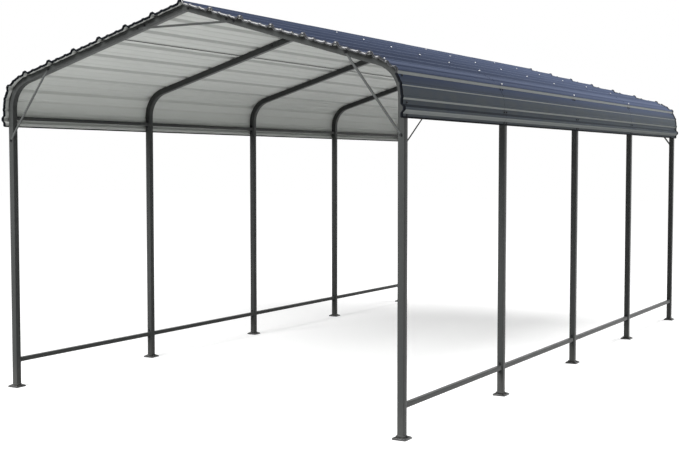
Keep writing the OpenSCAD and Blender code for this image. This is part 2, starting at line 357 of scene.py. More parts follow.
def dust_light_shade_group():
    """Real dust on faces that look up, painted light on faces that look down, low splashes that on the
    fascias are painted reflection, and painted shade on ledges and in grooves.
    """
    group, given, out = shader_group(
        "dust_with_painted_light_and_shade",
        [("Place", "NodeSocketVector", None), ("Colour", "NodeSocketColor", None),
         ("Dust and painted light", "NodeSocketColor", DUST_TONE), ("Amount", "NodeSocketFloat", 0.0),
         ("Painted light below", "NodeSocketFloat", 0.0), ("Ledge painted shade", "NodeSocketFloat", 0.0),
         ("Groove painted shade", "NodeSocketFloat", 0.0),
         ("Splash colour", "NodeSocketColor", DUST_TONE), ("Splash and painted reflection", "NodeSocketFloat", 0.0),
         ("Splash top", "NodeSocketFloat", 0.28), ("Splash bottom", "NodeSocketFloat", 0.0)],
        [("Colour", "NodeSocketColor"), ("Mask", "NodeSocketFloat")],
    )
    geometry = add(group, "ShaderNodeNewGeometry")
    facing = add(group, "ShaderNodeSeparateXYZ", {0: geometry.outputs["Normal"]}).outputs
    place = add(group, "ShaderNodeSeparateXYZ", {0: given["Place"]}).outputs
    cloud = noise(group, given["Place"], per_metre=5.0, detail=6.0, roughness=0.7)
    speck = noise(group, given["Place"], per_metre=240.0)

    patches = times(group, ramp(group, cloud, 0.35, 0.75), ramp(group, speck, 0.3, 0.7, out_low=0.55))
    lying = times(group, ramp(group, facing["Z"], *DUST_LIES), given["Amount"])
    # Painted light: faces that look down are lightened, less where they look straight down
    fading_light = ramp(group, facing["Z"], *PAINTED_LIGHT_FADES, out_low=1.0, out_high=FADED_PAINTED_LIGHT)
    facing_down_light = times(group, ramp(group, facing["Z"], *PAINTED_LIGHT_FACING), fading_light)
    under = times(group, facing_down_light, given["Painted light below"])
    dust_and_light_mask = math_node(group, "ADD", times(group, lying, patches), under, clamp=True)

    # Splash near the ground on the frame; low on the fascias the same mix is painted reflection of the ground
    rise = ramp(group, place["Z"], given["Splash top"], given["Splash bottom"])
    low = times(group, rise, given["Splash and painted reflection"])
    splash_and_reflection_share = times(group, low, ramp(group, cloud, 0.2, 0.8, out_low=0.6))

    # Painted shade: faces that look up, low on the fascias, are darkened towards a near-black tone
    ledge = times(group, ramp(group, facing["Z"], *SHADE_ON_LEDGE), rise)
    # Painted shade in the grooves of the roof's inside: rib flanks that face outwards, over the slopes, are
    # darkened
    inwards = times(group, facing["X"], math_node(group, "SIGN", place["X"]))
    over_slope = ramp(group, place["Z"], *GROOVES_FROM_Z)
    groove = times(group, ramp(group, inwards, *SHADE_IN_GROOVE), over_slope)
    painted_shade = math_node(group, "MAXIMUM", times(group, ledge, given["Ledge painted shade"]),
                      times(group, groove, given["Groove painted shade"]))

    with_splash_and_reflection = mix_colour(group, splash_and_reflection_share, given["Colour"], given["Splash colour"])
    dusted_and_lit = mix_colour(group, dust_and_light_mask, with_splash_and_reflection, given["Dust and painted light"])
    group.links.new(mix_colour(group, painted_shade, dusted_and_lit, PAINTED_SHADE_TONE), out["Colour"])
    group.links.new(math_node(group, "ADD", dust_and_light_mask, splash_and_reflection_share, clamp=True), out["Mask"])
    return group


def coil_variation_group():
    """Faint bands along a rolled sheet and slow buckles of its flats, as a shade and a height."""
    group, given, out = shader_group(
        "coil_variation",
        [("Place", "NodeSocketVector", None), ("Colour", "NodeSocketColor", None),
         ("Shade", "NodeSocketFloat", 0.08)],
        [("Colour", "NodeSocketColor"), ("Buckle", "NodeSocketFloat")],
    )
    bands = noise(group, given["Place"], per_metre=26.0, detail=3.0, stretch=(1, 0.02, 1))
    clouds = noise(group, given["Place"], per_metre=1.6, detail=3.0, stretch=(1, 0.5, 1))
    swing = math_node(group, "SUBTRACT", math_node(group, "ADD", bands, clouds), 2 * NOISE_MIDDLE)
    level = math_node(group, "ADD", times(group, swing, given["Shade"]), 1.0)
    shaded = add(group, "ShaderNodeVectorMath", {0: given["Colour"], "Scale": level}, operation="SCALE")
    buckle = noise(group, given["Place"], per_metre=5.5, detail=1.0, stretch=(1, 0.32, 1))
    group.links.new(shaded.outputs[0], out["Colour"])
    group.links.new(buckle, out["Buckle"])
    return group


COAT_GRAIN = coat_grain_group()
DUST_LIGHT_SHADE = dust_light_shade_group()
COIL_VARIATION = coil_variation_group()


# Materials


def start_material(name, **constants):
    """A material with its Principled shader, its tree and the object's own coordinates."""
    made = bpy.data.materials.new(name)
    made.use_nodes = True
    tree = made.node_tree
    shader = tree.nodes["Principled BSDF"]
    for socket, value in constants.items():
        shader.inputs[socket.replace("_", " ")].default_value = value
    place = tree.nodes.new("ShaderNodeTexCoord").outputs["Object"]
    return made, tree, shader, place


def bump(tree, shader, layers):
    """Stacks (height, distance in metres, strength) layers into the shader's normal."""
    normal = None
    for height, distance, strength in layers:
        values = {"Height": height, "Distance": distance, "Strength": strength}
        if normal is not None:
            values["Normal"] = normal
        normal = add(tree, "ShaderNodeBump", values).outputs[0]
    tree.links.new(normal, shader.inputs["Normal"])


def grain_of(tree, place, per_metre, roughness, spread):
    return use_group(tree, COAT_GRAIN, {
        "Place": place, "Grain per metre": per_metre, "Roughness": roughness, "Spread": spread})


def dulled(tree, grain, dust_and_light_layer):
    """The grain's roughness, raised where the dust, splash, painted light and painted reflection lie on the
    coat.
    """
    return math_node(tree, "ADD", grain["Roughness"], times(tree, dust_and_light_layer["Mask"], MASK_DULLING), clamp=True)


def sheet_coat(name, base, roughness, shade, buckle, painted_and_dust_values, **constants):
    """Baked paint on a rolled roof sheet, whose flats buckle by so many metres."""
    made, tree, shader, place = start_material(name, **constants)
    coil = use_group(tree, COIL_VARIATION, {"Place": place, "Colour": base, "Shade": shade})
    grain = grain_of(tree, place, SHEET_GRAIN, roughness, spread=0.12)
    dust_and_light_layer = use_group(tree, DUST_LIGHT_SHADE, {"Place": place, "Colour": coil["Colour"], **painted_and_dust_values})
    tree.links.new(dust_and_light_layer["Colour"], shader.inputs["Base Color"])
    tree.links.new(dulled(tree, grain, dust_and_light_layer), shader.inputs["Roughness"])
    bump(tree, shader, [(coil["Buckle"], buckle, BUCKLE_STRENGTH), (grain["Height"], *SHEET_PEEL)])
    return made


def frame_coat(name, base, roughness, splash, **constants):
    """Satin powder coat on the tubes, plates and feet, with splash near the ground."""
    made, tree, shader, place = start_material(name, **constants)
    grain = grain_of(tree, place, POWDER_GRAIN, roughness, spread=0.14)
    dust_and_light_layer = use_group(tree, DUST_LIGHT_SHADE, {"Place": place, "Colour": base, "Splash and painted reflection": splash})
    cloud = ramp(tree, noise(tree, place, per_metre=2.0, detail=3.0), 0.3, 0.7, out_high=POWDER_CLOUD)
    toned = mix_colour(tree, cloud, dust_and_light_layer["Colour"], POWDER_CLOUD_TONE)
    tree.links.new(toned, shader.inputs["Base Color"])
    tree.links.new(dulled(tree, grain, dust_and_light_layer), shader.inputs["Roughness"])
    bump(tree, shader, [(grain["Height"], *POWDER_PEEL)])
    return made


def plated_steel(name, base, roughness, tarnished):
    """Plated or blackened steel with fine turning marks and a slight tarnish."""
    made, tree, shader, place = start_material(name, Metallic=1.0)
    grain = grain_of(tree, place, STEEL_GRAIN, roughness, spread=0.2)
    tarnish = ramp(tree, noise(tree, place, per_metre=90.0, detail=4.0), 0.45, 0.8, out_high=STEEL_TARNISH)
    tree.links.new(mix_colour(tree, tarnish, base, tarnished), shader.inputs["Base Color"])
    tree.links.new(grain["Roughness"], shader.inputs["Roughness"])
    bump(tree, shader, [(grain["Height"], *STEEL_MARKS)])
    return made


def sealing_rubber(name, base, bloomed):
    """Sealing rubber under the roof screws, with a pale bloom."""
    made, tree, shader, place = start_material(name)
    grain = grain_of(tree, place, RUBBER_GRAIN, RUBBER_ROUGHNESS, spread=0.1)
    bloom = ramp(tree, noise(tree, place, per_metre=60.0, detail=3.0), 0.4, 0.8, out_high=RUBBER_BLOOM)
    tree.links.new(mix_colour(tree, bloom, base, bloomed), shader.inputs["Base Color"])
    tree.links.new(grain["Roughness"], shader.inputs["Roughness"])
    bump(tree, shader, [(grain["Height"], *RUBBER_MARKS)])
    return made


# The roof's outside: slate blue, greyer and greener low on the fascias, where that is painted reflection of
# the ground. Faces that look down are lighter, painted light, and faces that look up low on the fascias are
# darker, painted shade
SLATE_COAT = sheet_coat(
    "slate_roof_coat", colour(0.053, 0.067, 0.110), roughness=0.45, shade=0.30, buckle=0.0014,
    painted_and_dust_values={"Amount": 0.015, "Painted light below": 0.95, "Dust and painted light": colour(0.36, 0.38, 0.37), "Ledge painted shade": 0.75,
             "Splash colour": colour(0.122, 0.130, 0.106), "Splash and painted reflection": 0.60, "Splash top": 2.15,
             "Splash bottom": 2.02},
    Specular_IOR_Level=0.005)
# The roof's inside, with painted shade in its rib grooves
PALE_COAT = sheet_coat(
    "pale_backing_coat", colour(0.555, 0.572, 0.548), roughness=0.5, shade=0.06, buckle=0.0006,
    painted_and_dust_values={"Groove painted shade": 0.22}, Specular_IOR_Level=0.3)
# Rolled edges, near-black, painted shade that draws them as dark lines: glossy on the right slope of the
# ends, a painted highlight, and matt elsewhere and on the hems
GLINT_EDGE_COAT = sheet_coat(
    "glint_edge_coat", colour(0.006, 0.007, 0.010), roughness=0.18, shade=0.10, buckle=0.0,
    painted_and_dust_values={}, Specular_IOR_Level=0.50)
SHADE_LINE_COAT = sheet_coat(
    "dark_line_shade_coat", colour(0.006, 0.007, 0.009), roughness=0.70, shade=0.10, buckle=0.0,
    painted_and_dust_values={}, Specular_IOR_Level=0.02)
CHARCOAL_COAT = frame_coat(
    "charcoal_powder_coat", colour(0.034, 0.0360, 0.0352), roughness=0.34, splash=0.06,
    Specular_IOR_Level=0.13)
BRACE_COAT = frame_coat(
    "brace_powder_coat", colour(0.050, 0.053, 0.052), roughness=0.36, splash=0.0, Specular_IOR_Level=0.20)
FOOT_COAT = frame_coat(
    "foot_powder_coat", colour(0.007, 0.007, 0.007), roughness=0.26, splash=0.02, Specular_IOR_Level=0.80)
DULL_ZINC = plated_steel("dull_zinc", colour(0.80, 0.81, 0.83), 0.35, colour(0.55, 0.56, 0.58))
BLACK_OXIDE = plated_steel("black_oxide", colour(0.030, 0.031, 0.033), 0.42, colour(0.06, 0.06, 0.062))
WASHER_RUBBER = sealing_rubber("washer_rubber", colour(0.012, 0.012, 0.013), colour(0.05, 0.05, 0.05))


# Modelling helpers


def verts_of(geometry):
    return [g for g in geometry if isinstance(g, bmesh.types.BMVert)]


def faces_of(geometry):
    return [g for g in geometry if isinstance(g, bmesh.types.BMFace)]


def all_of(bm):
    return bm.verts[:] + bm.edges[:] + bm.faces[:]


def round_edges(bm, edges, radius, steps=2):
    bmesh.ops.bevel(bm, geom=edges, offset=radius, offset_type="OFFSET", segments=steps,
                    profile=0.5, affect="EDGES", material=-1, clamp_overlap=True)


def section(bm, width, depth, corner, place):
    """A face with rounded corners, width along X and depth along Y, put in place."""
    made = bmesh.ops.create_circle(bm, cap_ends=True, radius=math.sqrt(0.5), segments=4)["verts"]
    bmesh.ops.rotate(bm, verts=made, matrix=Matrix.Rotation(math.pi / 4, 3, "Z"))
    bmesh.ops.scale(bm, verts=made, vec=(width, depth, 1))
    rounded = bmesh.ops.bevel(bm, geom=made, offset=corner, offset_type="OFFSET", segments=CORNER_STEPS,
                              profile=0.5, affect="VERTICES", material=-1)
    bmesh.ops.transform(bm, matrix=place, verts=rounded["verts"])
    return rounded["verts"][0].link_faces[0]


def grow(bm, face, step, size=1.0):
    """Extrudes a face by a step, scales the new face about its middle, and leaves no wall inside."""
    walled = any(len(edge.link_faces) > 1 for edge in face.edges)
    made = bmesh.ops.extrude_face_region(bm, geom=[face])["geom"]
    new = faces_of(made)[0]
    bmesh.ops.translate(bm, verts=verts_of(made), vec=step)
    if walled:
        bmesh.ops.delete(bm, geom=[face], context="FACES_ONLY")
    if size != 1.0:
        middle = new.calc_center_median()
        bmesh.ops.scale(bm, verts=new.verts[:], vec=(size,) * 3, space=Matrix.Translation(-middle))
    return new


def bar(bm, width, depth, corner, place, length):
    """A bar with rounded corners and slightly eased ends, along the placed +Z."""
    along = place.to_3x3() @ Vector((0, 0, 1))
    ease = JOINT_CHAMFER
    face = section(bm, width - 2 * ease, depth - 2 * ease, corner - ease, place)
    face = grow(bm, face, along * ease, width / (width - 2 * ease))
    face = grow(bm, face, along * (length - 2 * ease))
    grow(bm, face, along * ease, (width - 2 * ease) / width)


def plate(bm, low, high, radius):
    """A small plate between two corners, with rounded edges."""
    size = high - low
    place = Matrix.Translation((low + high) / 2) @ Matrix.Diagonal((*size, 1))
    made = bmesh.ops.create_cube(bm, size=1.0, matrix=place)["verts"]
    round_edges(bm, list({e for v in made for e in v.link_edges}), radius)


def weld_round(bm, width, place):
    """A fillet of weld round a square tube, along the placed +Z."""
    along = place.to_3x3() @ Vector((0, 0, 1))
    now = width + 2 * WELD_W
    face = section(bm, now, now, CORNER_R + WELD_W, place)
    for rise, reach in WELD_STEPS:
        then = width + 2 * WELD_W * reach
        face = grow(bm, face, along * WELD_W * rise, then / now)
        now = then


def stamp(bm, shape, place):
    """Adds a copy of a finished small shape."""
    first = len(bm.verts)
    bm.from_mesh(shape)
    bm.verts.ensure_lookup_table()
    bmesh.ops.transform(bm, matrix=place, verts=bm.verts[first:])


def shape_mesh(bm, name):
    bmesh.ops.recalc_face_normals(bm, faces=bm.faces[:])
    made = bpy.data.meshes.new(name)
    bm.to_mesh(made)
    bm.free()
    return made


def make_piece(name, bm, materials, stands_for=(), keep_normals=False):
    """Turns a bmesh into a piece of the object that rides on its only body."""
    if not keep_normals:
        bmesh.ops.recalc_face_normals(bm, faces=bm.faces[:])
    for face in bm.faces:
        face.smooth = True
    for edge in bm.edges:
        edge.smooth = len(edge.link_faces) == 2 and edge.calc_face_angle() < SMOOTH_ANGLE
    mesh = bpy.data.meshes.new(name)
    bm.to_mesh(mesh)
    bm.free()
    for material in materials:
        mesh.materials.append(material)
    made = bpy.data.objects.new(name, mesh)
    bpy.context.scene.collection.objects.link(made)
    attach(made, "root")
    if stands_for:
        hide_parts(*stands_for)
    return made


def mirrored(bm):
    """Turns a right-hand shape into the left-hand one."""
    bmesh.ops.scale(bm, verts=bm.verts[:], vec=(-1, 1, 1))


# Frame


def make_post(side, i):
    """A straight post with a weld round its foot."""
    bm = bmesh.new()
    at = Matrix.Translation((HALF_SPAN, FRAME_Y[i], POST_FOOT_Z))
    bar(bm, TUBE, TUBE, CORNER_R, at, SPLICE_Z - POST_FOOT_Z)
    weld_round(bm, TUBE, at)
    if SIDES[side] < 0:
        mirrored(bm)
    name = f"post_{side}_{i + 1}"
    make_piece(f"{name}_tube", bm, [CHARCOAL_COAT], [name])


def make_bow(side, i):
    """Leg, bend and rafter as one bent tube."""
    bm = bmesh.new()
    ease = JOINT_CHAMFER
    shrink = (TUBE - 2 * ease) / TUBE
    up = Vector((0, 0, 1))
    start = Matrix.Translation((HALF_SPAN, FRAME_Y[i], SPLICE_Z))
    face = section(bm, TUBE * shrink, TUBE * shrink, CORNER_R - ease, start)
    face = grow(bm, face, up * ease, 1 / shrink)
    face = grow(bm, face, up * (BEND_Z - SPLICE_Z - ease))
    turned = bmesh.ops.spin(
        bm, geom=[face, *face.edges, *face.verts], cent=(BEND_X, FRAME_Y[i], BEND_Z), axis=(0, 1, 0),
        angle=SLOPE - math.pi / 2, steps=BOW_BEND_STEPS, use_merge=False, use_duplicate=False)
    face = faces_of(turned["geom_last"])[0]
    face = grow(bm, face, RAFTER_DIRECTION * (AXIS_SLOPE_LENGTH - ELBOW_REACH - ease))
    grow(bm, face, RAFTER_DIRECTION * ease, shrink)
    if SIDES[side] < 0:
        mirrored(bm)
    name = f"bow_{side}_{i + 1}"
    make_piece(f"{name}_tube", bm, [CHARCOAL_COAT], [name])


def is_foot_edge(edge):
    """True for the long outer edges and upright corners of a foot, but not round its bolt seats."""
    if len(edge.link_faces) != 2 or edge.calc_face_angle_signed() < FOOT_TURN_LEAST:
        return False
    length = edge.calc_length()
    drop = abs(edge.verts[0].co.z - edge.verts[1].co.z)
    upright = drop > UPRIGHT_SHARE * length and drop > FOOT_CORNER_LEAST
    return upright or (length > FOOT_EDGE_LEAST and max(v.co.z for v in edge.verts) > FOOT_EASE)


def make_feet(side):
    """The pressed feet of one side, with eased edges."""
    node = f"feet_{side}"
    bm = bmesh.new()
    bm.from_mesh(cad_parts[node].data)
    bmesh.ops.remove_doubles(bm, verts=bm.verts[:], dist=FINE_GAP)
    bmesh.ops.dissolve_limit(bm, angle_limit=FOOT_FLAT_WITHIN, verts=bm.verts[:], edges=bm.edges[:])
    round_edges(bm, [e for e in bm.edges if is_foot_edge(e)], FOOT_EASE, FOOT_EASE_STEPS)
    make_piece(f"{node}_pressed", bm, [FOOT_COAT], [node], keep_normals=True)


def make_ridge_elbows():
    """Short bent tubes that join the bows at the ridge."""
    bm = bmesh.new()
    joint = on_rafter(ELBOW_REACH * math.cos(SLOPE))
    for y in FRAME_Y:
        place = Matrix.Translation((joint.x, y, joint.y)) @ Matrix.Rotation(SLOPE - math.pi / 2, 4, "Y")
        arm = bmesh.new()
        bar(arm, TUBE, TUBE, CORNER_R, place, ELBOW_REACH + TUBE)
        bmesh.ops.bisect_plane(arm, geom=all_of(arm), plane_co=(0, 0, 0), plane_no=(1, 0, 0),
                               clear_inner=True)
        bmesh.ops.mirror(arm, geom=all_of(arm), axis="X", merge_dist=MERGE_GAP)
        stamp(bm, shape_mesh(arm, "ridge_elbow"), Matrix.Identity(4))
    make_piece("ridge_elbow_tubes", bm, [CHARCOAL_COAT], ["ridge_elbows"])


def make_rails(kind, side):
    """The lower or eave rails of one side, each with an end plate welded on."""
    bm = bmesh.new()
    node = f"{kind}_rails_{side}"
    low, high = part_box(node)
    x = (low.x + high.x) / 2
    z = (low.z + high.z) / 2
    width = RAIL_W[kind]
    half_plate = Vector((PLATE_W, PLATE_T, PLATE_H[kind])) / 2
    for front, rear in zip(FRAME_Y, FRAME_Y[1:]):
        start = front + TUBE / 2
        end = rear - TUBE / 2
        along = Matrix.Translation((x, start + PLATE_T, z)) @ Matrix.Rotation(-math.pi / 2, 4, "X")
        back = Matrix.Translation((x, end - PLATE_T, z)) @ Matrix.Rotation(math.pi / 2, 4, "X")
        bar(bm, width, width, RAIL_CORNER_R, along, end - start - 2 * PLATE_T)
        weld_round(bm, width, along)
        weld_round(bm, width, back)
        for y in (start + PLATE_T / 2, end - PLATE_T / 2):
            middle = Vector((x, y, z))
            plate(bm, middle - half_plate, middle + half_plate, PLATE_EASE)
    make_piece(f"{kind}_rail_{side}_tubes", bm, [CHARCOAL_COAT], [node])


def brace_shape(length):
    """A flat-ended brace tube along +X from bolt to bolt, its back on the plane y = 0."""
    bm = bmesh.new()
    middle = length / 2
    place = Matrix.Translation((middle, BRACE_D / 2, 0)) @ Matrix.Rotation(math.pi / 2, 4, "Y")
    face = section(bm, BRACE_W, BRACE_D, BRACE_CORNER, place)
    face = grow(bm, face, Vector((middle - TONGUE_LENGTH - TONGUE_RAMP, 0, 0)))
    face = grow(bm, face, Vector((TONGUE_RAMP, 0, 0)))
    bmesh.ops.scale(bm, verts=face.verts[:], vec=(1, TONGUE_T / BRACE_D, 1))
    for reach, width in ((TONGUE_LENGTH, TONGUE_W / BRACE_W), *TONGUE_TIP):
        face = grow(bm, face, Vector((reach, 0, 0)))
        bmesh.ops.scale(bm, verts=face.verts[:], vec=(1, 1, width))
    # The half is cut open just past its start, and its mirror image closes it
    cut = middle + BRACE_TRIM
    bmesh.ops.bisect_plane(bm, geom=all_of(bm), plane_co=(cut, 0, 0), plane_no=(1, 0, 0), clear_inner=True)
    copy = bmesh.ops.duplicate(bm, geom=all_of(bm))["geom"]
    bmesh.ops.scale(bm, verts=verts_of(copy), vec=(-1, 1, 1), space=Matrix.Translation((-cut, 0, 0)))
    bmesh.ops.remove_doubles(bm, verts=bm.verts[:], dist=MERGE_GAP)
    return shape_mesh(bm, "brace")


def add_brace(bm, p, q, y, outward):
    """Puts a brace from p to q, both (x, z), on the outer face of an end frame at y."""
    span = q - p
    turn = Matrix.Rotation(-math.atan2(span.y, span.x), 4, "Y")
    flip = Matrix.Diagonal((1, outward, 1, 1))
    stamp(bm, brace_shape(span.length), Matrix.Translation((p.x, y, p.y)) @ flip @ turn)


def knee_bolts():
    """The lower and upper bolt of a right-hand knee brace, as (x, z)."""
    return Vector((HALF_SPAN, SPLICE_Z - KNEE_DROP)), on_rafter(HALF_SPAN - KNEE_REACH)


def make_braces(end):
    """The knee braces and the ridge tie of one end frame."""
    y, outward = END_FRAMES[end]
    bm = bmesh.new()
    for sign in SIDES.values():
        lower, upper = (Vector((sign * p.x, p.y)) for p in knee_bolts())
        add_brace(bm, lower, upper, y, outward)
    make_piece(f"knee_brace_{end}_tubes", bm, [BRACE_COAT], [f"knee_braces_{end}"])
    bm = bmesh.new()
    add_brace(bm, on_rafter(-TIE_REACH), on_rafter(TIE_REACH), y, outward)
    make_piece(f"ridge_tie_{end}_tube", bm, [CHARCOAL_COAT], [f"ridge_tie_{end}"])


# Roof


def rib_s(k):
    """Place of main rib k along the roof's outer line."""
    if k <= SLOPE_RIBS:
        return k * RIB_PITCH
    return EDGE_S - EDGE_RIB_RISE - (SLOPE_RIBS + EAVE_RIBS - k) * EAVE_RIB_PITCH


def rib_folds(s, size):
    """The four folds of a rib, as (s, height)."""
    base, top, height = size
    return [(s - base / 2, 0.0), (s - top / 2, height), (s + top / 2, height), (s + base / 2, 0.0)]


def main_rib(k):
    return rib_folds(rib_s(k), RIB)


def small_ribs(k):
    """Folds of the small ribs between main ribs k and k + 1."""
    gap = rib_s(k + 1) - rib_s(k)
    start = rib_s(k) + (FASCIA_MINOR_DROP if k > SLOPE_RIBS else 0.0)
    folds = []
    for m in range(1, SMALL_RIBS + 1):
        folds += rib_folds(start + gap * m / (SMALL_RIBS + 1), SMALL_RIB)
    return folds


def side_folds():
    """Folds of a side sheet, from its lap under the ridge sheet to the fascia's edge."""
    last = SLOPE_RIBS + EAVE_RIBS
    folds = [(UNDER_EDGE_S, 0.0)]
    for k in range(RIDGE_RIBS, last):
        folds += main_rib(k) + small_ribs(k)
    return folds + main_rib(last) + [(EDGE_S, 0.0)]


def both_slopes(ribs, edge_s):
    """Folds over the ridge and so many main ribs of both slopes, out to a plain edge."""
    half = main_rib(0)[2:]
    for k in range(ribs):
        half += small_ribs(k) + main_rib(k + 1)
    half.append((edge_s, 0.0))
    return [(-s, h) for s, h in reversed(half)] + half


def ridge_folds():
    """Folds of a ridge sheet."""
    return both_slopes(RIDGE_RIBS, rib_s(RIDGE_RIBS) + RIB[0] / 2 + SIDE_LAP)


def cut_for_bend(bm):
    """Cuts a flat sheet across at short steps where it will be bent."""
    steps = math.ceil(BEND_LENGTH / BEND_STEP)
    for side in SIDES.values():
        for j in range(steps + 1):
            s = side * (SLOPE_LENGTH + BEND_LENGTH * j / steps)
            bmesh.ops.bisect_plane(bm, geom=all_of(bm), plane_co=(s, 0, 0), plane_no=(1, 0, 0), dist=FINE_GAP)


def bend_over(bm, lift):
    """Bends a flat sheet, drawn as (s, y, h), over the roof's outer line."""
    for v in bm.verts:
        x, z = roof_point(v.co.x, v.co.z + lift)
        v.co = Vector((x, v.co.y, z))


def fold_line(bm, folds, y, h=0.0):
    """A row of edges along the folds, on the flat sheet."""
    line = [bm.verts.new((s, y, rise + h)) for s, rise in folds]
    return [bm.edges.new(pair) for pair in zip(line, line[1:])]


def face_outwards(bm):
    """Turns the faces of an open roof surface to look up and out."""
    bmesh.ops.recalc_face_normals(bm, faces=bm.faces[:])
    lift = sum(f.normal.z * f.calc_area() for f in bm.faces)
    if lift < 0:
        bmesh.ops.reverse_faces(bm, faces=bm.faces[:])


def make_sheet(name, folds, lap_level, i, side=1):
    """One folded roof sheet, slate outside and pale inside."""
    front = ROOF_FRONT if i == 0 else FRAME_Y[i] - END_LAP / 2
    rear = ROOF_REAR if i == BAYS - 1 else FRAME_Y[i + 1] + END_LAP / 2
    bm = bmesh.new()
    swept = bmesh.ops.extrude_edge_only(bm, edges=fold_line(bm, folds, front))["geom"]
    bmesh.ops.translate(bm, verts=verts_of(swept), vec=(0, rear - front, 0))
    round_edges(bm, [e for e in bm.edges if len(e.link_faces) == 2], FOLD_R, FOLD_STEPS)
    cut_for_bend(bm)
    bend_over(bm, LAP_GAP + lap_level * (SHEET_T + LAP_GAP) + SHEET_T)
    if side < 0:
        mirrored(bm)
    face_outwards(bm)
    coats = [SLATE_COAT, PALE_COAT, SHADE_LINE_COAT]
    made = make_piece(f"{name}_folded", bm, coats, [name], keep_normals=True)
    wall = made.modifiers.new("sheet_wall", "SOLIDIFY")
    wall.thickness = SHEET_T
    wall.offset = -1.0
    wall.material_offset = coats.index(PALE_COAT)
    wall.material_offset_rim = coats.index(SHADE_LINE_COAT)


def make_edge_bead(end):
    """The rolled edge round the roof sheets at one end, which follows every fold."""
    y = ROOF_FRONT if end == "front" else ROOF_REAR
    folds = both_slopes(SLOPE_RIBS + EAVE_RIBS, EDGE_S)
    bm = bmesh.new()
    rows = []
    for j in range(EDGE_BEAD_SIDES):
        turn = 2 * math.pi * j / EDGE_BEAD_SIDES
        reach = EDGE_BEAD / 2 * Vector((math.cos(turn), math.sin(turn)))
        rows.append(fold_line(bm, folds, y + reach.x, reach.y))
    for row, after in zip(rows, rows[1:] + rows[:1]):
        bmesh.ops.bridge_loops(bm, edges=row + after)
    bmesh.ops.holes_fill(bm, edges=[e for e in bm.edges if len(e.link_faces) == 1], sides=0)
    cut_for_bend(bm)
    bend_over(bm, ROOF_TOP / 2)
    # Painted highlight: the glossy coat only on the right slope's part of each end bead, the matt coat
    # elsewhere
    for face in bm.faces:
        middle = face.calc_center_median()
        face.material_index = int(middle.x > 0 and middle.z > GLINT_EDGE_FROM)
    make_piece(f"roof_edge_{end}", bm, [SHADE_LINE_COAT, GLINT_EDGE_COAT])


def hem(bm, s, h, width, start, end):
    """A thin rod along Y, at s and h on both slopes, used for the rolled fascia edges and for the dark lines
    of painted shade at the laps.
    """
    x, z = roof_point(s, h)
    for sign in SIDES.values():
        place = Matrix.Translation((sign * x, start, z)) @ Matrix.Rotation(-math.pi / 2, 4, "X")
        made = bmesh.ops.create_circle(bm, cap_ends=True, radius=width / 2, segments=HEM_SIDES)["verts"]
        bmesh.ops.transform(bm, matrix=place, verts=made)
        grow(bm, made[0].link_faces[0], Vector((0, end - start, 0)))


def make_hems():
    """The rolled lower edges of the fascias, and dark lines of painted shade along the side sheets' edges
    under the ridge sheets.
    """
    bm = bmesh.new()
    hem(bm, EDGE_S, ROOF_TOP / 2, FASCIA_HEM, ROOF_FRONT, ROOF_REAR)
    make_piece("fascia_hems", bm, [SHADE_LINE_COAT])
    bm = bmesh.new()
    for front, rear in zip(FRAME_Y, FRAME_Y[1:]):
        hem(bm, UNDER_EDGE_S, -LAP_SHADOW_LINE / 2, LAP_SHADOW_LINE, front + TUBE / 2, rear - TUBE / 2)
    make_piece("lap_shadow_lines", bm, [SHADE_LINE_COAT])


# Fasteners


def disc(bm, radius, height, sides, rise=0.0, crown=HEAD_CROWN):
    """A round or many-sided head along +Z with an eased upper edge."""
    made = bmesh.ops.create_circle(bm, cap_ends=True, radius=radius, segments=sides)["verts"]
    bmesh.ops.translate(bm, verts=made, vec=(0, 0, rise))
    face = grow(bm, made[0].link_faces[0], Vector((0, 0, height * crown)))
    return grow(bm, face, Vector((0, 0, height * (1 - crown))), HEAD_TOP)


def hex_bolt_shape():
    """Head of a hexagon bolt on its washer, along +Z."""
    bm = bmesh.new()
    disc(bm, BOLT_WASHER_R, BOLT_WASHER_T, WASHER_SIDES)
    disc(bm, BOLT_HEAD_R, BOLT_HEAD_H, HEX_SIDES, BOLT_WASHER_T)
    return shape_mesh(bm, "hex_bolt")


def nut_shape():
    """A nut on its washer with the bolt's end in it, along +Z."""
    bm = bmesh.new()
    disc(bm, BOLT_WASHER_R, BOLT_WASHER_T, WASHER_SIDES)
    disc(bm, BOLT_HEAD_R, NUT_H, HEX_SIDES, BOLT_WASHER_T)
    disc(bm, BOLT_R, NUT_H + BOLT_END, BOLT_SIDES, BOLT_WASHER_T)
    return shape_mesh(bm, "nut")


def roof_screw_shape():
    """A hexagon-head roof screw with a domed cap washer on a rubber seal, along +Z."""
    bm = bmesh.new()
    disc(bm, SEAL_R, SEAL_T, SEAL_SIDES)
    rubber = set(bm.faces)
    cap = disc(bm, SEAL_R * CAP_R, SEAL_T, SEAL_SIDES, SEAL_T, CAP_CROWN)
    grow(bm, cap, Vector((0, 0, SEAL_T * DOME_RISE)), DOME_TOP)
    disc(bm, SCREW_HEAD_R, SCREW_HEAD_H, HEX_SIDES, SEAL_T)
    for face in bm.faces:
        face.material_index = int(face in rubber)
    return shape_mesh(bm, "roof_screw")


def towards(at, direction):
    """A place whose +Z looks along a direction."""
    return Matrix.Translation(at) @ Vector(direction).to_track_quat("Z", "Y").to_matrix().to_4x4()


def plate_places(kind):
    """Where the bolts of the rails' end plates come out, as (point, direction)."""
    low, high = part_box(f"{kind}_rails_right")
    middle = (low.z + high.z) / 2
    for sign in SIDES.values():
        for z in (middle - PLATE_BOLT_RISE[kind], middle + PLATE_BOLT_RISE[kind]):
            for front, rear in zip(FRAME_Y, FRAME_Y[1:]):
                yield (sign * HALF_SPAN, front + TUBE / 2 + PLATE_T, z), (0, 1, 0)
                yield (sign * HALF_SPAN, rear - TUBE / 2 - PLATE_T, z), (0, -1, 0)


